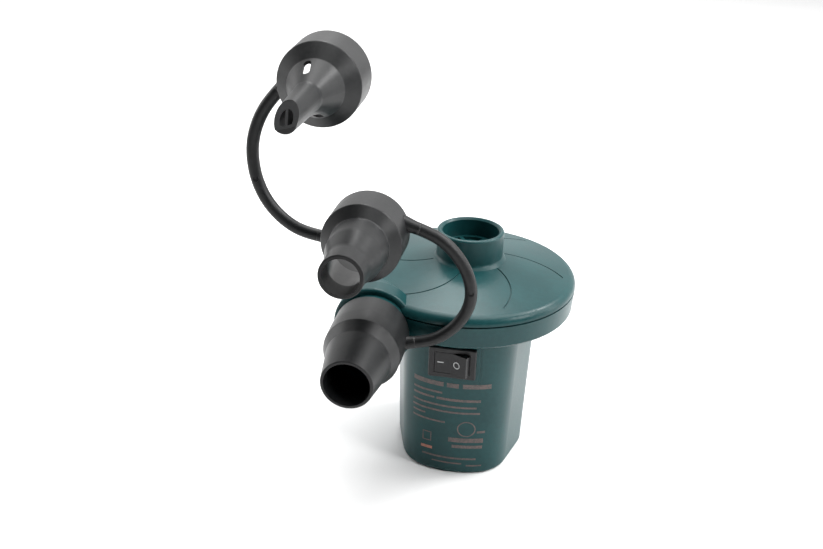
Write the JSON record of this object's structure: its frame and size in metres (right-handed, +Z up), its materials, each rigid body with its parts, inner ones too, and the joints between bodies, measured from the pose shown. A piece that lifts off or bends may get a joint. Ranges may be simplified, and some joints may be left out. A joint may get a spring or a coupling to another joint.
{
  "type": "electric air pump",
  "caption": "Small electric air pump: round fan housing on a six-sided motor body, rocker switch, and push-on nozzles joined by moulded tethers.",
  "frame": {"origin": "centre of the flat base, under the fan axis", "axes": "+Z up along the fan axis and out of the deflate port; -Y is the switch side and the way the outlet blows; +X to the right seen from the switch side"},
  "size_m": [0.1324, 0.1579, 0.203],
  "materials": {
    "housing_teal": "satin teal-green moulded plastic",
    "nozzle_grey": "satin charcoal soft plastic",
    "switch_black": "black moulded plastic",
    "gasket_black": "foam rubber",
    "sleeve_rubber": "rubber",
    "steel": "zinc plated steel",
    "motor_steel": "drawn steel can",
    "ferrite": "ferrite",
    "core_iron": "laminated iron",
    "copper": "enamelled copper",
    "bronze": "sintered bronze",
    "brass": "brass",
    "carbon": "carbon",
    "fan_plastic": "natural moulded plastic",
    "cap_plastic": "moulded plastic",
    "board_green": "circuit board",
    "component_black": "moulded component",
    "lead_red": "insulated wire"
  },
  "bodies": {
    "housing": {"main_housing": "housing_teal", "volute_cover": "housing_teal", "seam_gasket": "gasket_black", "inlet_grille": "housing_teal", "outlet_spigot": "housing_teal", "base_cover": "housing_teal", "base_screws": "steel", "cover_screws": "steel", "motor_plate": "cap_plastic", "plate_screws": "steel", "motor_screws": "steel", "motor_can": "motor_steel", "motor_end_cap": "cap_plastic", "field_magnets": "ferrite", "upper_bushing": "bronze", "lower_bushing": "bronze", "carbon_brushes": "carbon", "brush_arms": "brass", "motor_terminals": "brass", "motor_sleeve": "sleeve_rubber", "switch_frame": "switch_black", "switch_terminals": "brass", "power_inlet": "switch_black", "inlet_pins": "brass", "circuit_board": "board_green", "bridge_rectifier": "component_black", "capacitor": "component_black", "mains_leads": "lead_red", "switch_lead": "lead_red", "motor_leads": "lead_red"},
    "rotor": {"motor_shaft": "steel", "armature_core": "core_iron", "armature_windings": "copper", "commutator": "copper", "impeller": "fan_plastic", "impeller_nut": "brass"},
    "rocker": {"switch_rocker": "switch_black", "rocker_plunger": "brass"},
    "large_nozzle": {"nozzle_large": "nozzle_grey", "lower_tether_bottom": "nozzle_grey"},
    "medium_nozzle": {"nozzle_medium": "nozzle_grey", "lower_tether_top": "nozzle_grey", "upper_tether_bottom": "nozzle_grey"},
    "valve_nozzle": {"nozzle_valve": "nozzle_grey", "upper_tether_top": "nozzle_grey"}
  },
  "joints": [
    {"name": "fan_spin", "type": "hinge", "parent": "housing", "child": "rotor", "pos_m": [0, 0, 0.0575], "axis": [0, 0, 1], "continuous": true},
    {"name": "switch_rock", "type": "hinge", "parent": "housing", "child": "rocker", "pos_m": [-0.0011, -0.03297, 0.0607], "axis": [0, 0, 1], "range_deg": [0, 24]},
    {"name": "large_nozzle_pull", "type": "slide", "parent": "housing", "child": "large_nozzle", "axis": [0, -1, 0], "range_m": [0, 0.022]},
    {"name": "lower_tether_flex", "type": "hinge", "parent": "large_nozzle", "child": "medium_nozzle", "pos_m": [0.0071, -0.0535, 0.1037], "axis": [0, 1, 0], "range_deg": [-14, 30], "stiffness_Nm_per_rad": 0.26, "springref_deg": 1.89},
    {"name": "upper_tether_flex", "type": "hinge", "parent": "medium_nozzle", "child": "valve_nozzle", "pos_m": [-0.0806, -0.0522, 0.1476], "axis": [0, 1, 0], "range_deg": [-25, 20], "stiffness_Nm_per_rad": 0.08, "springref_deg": -1.49}
  ]
}
